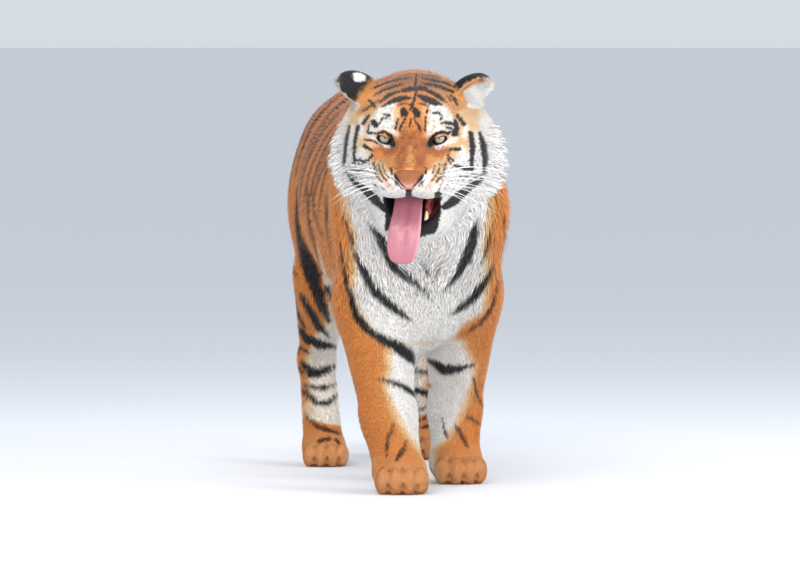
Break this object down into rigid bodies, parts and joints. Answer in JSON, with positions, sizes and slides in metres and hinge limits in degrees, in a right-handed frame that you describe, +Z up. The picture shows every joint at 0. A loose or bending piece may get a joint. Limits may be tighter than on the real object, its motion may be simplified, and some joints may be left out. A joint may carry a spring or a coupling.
{
  "type": "siberian tiger",
  "caption": "Still life-size model of a Siberian tiger walking with its mouth open and its tongue out, standing on its own paws.",
  "frame": {"origin": "the middle of the animal's box on the floor, between its four soles", "axes": "+Z up, -Y the way the body walks, +X the animal's left"},
  "size_m": [0.4469, 2.27, 0.9647],
  "materials": {
    "coat": "dense striped winter fur, orange with black-brown stripes and white underparts",
    "eye": "wet, clear over a pale grey-green iris and a round pupil",
    "nose_leather": "fine-grained nose leather with dark nostril edges",
    "tongue": "damp, with a centre crease and small papillae",
    "tooth": "cream enamel"
  },
  "bodies": {
    "root": {"neck": "coat", "trunk_front": "coat", "trunk_middle": "coat", "trunk_rear": "coat", "shoulder_right": "coat", "forearm_right": "coat", "forepaw_right": "coat", "thigh_right": "coat", "shank_right": "coat", "hindpaw_right": "coat", "shoulder_left": "coat", "forearm_left": "coat", "forepaw_left": "coat", "thigh_left": "coat", "shank_left": "coat", "hindpaw_left": "coat", "tail_1": "coat", "tail_2": "coat", "tail_3": "coat", "head": "coat", "face": "coat", "lower_jaw": "coat", "ear_right": "coat", "ear_left": "coat", "eye_right": "eye", "eye_left": "eye", "nose": "nose_leather", "tongue": "tongue", "lower_canine_left": "tooth"}
  },
  "joints": []
}
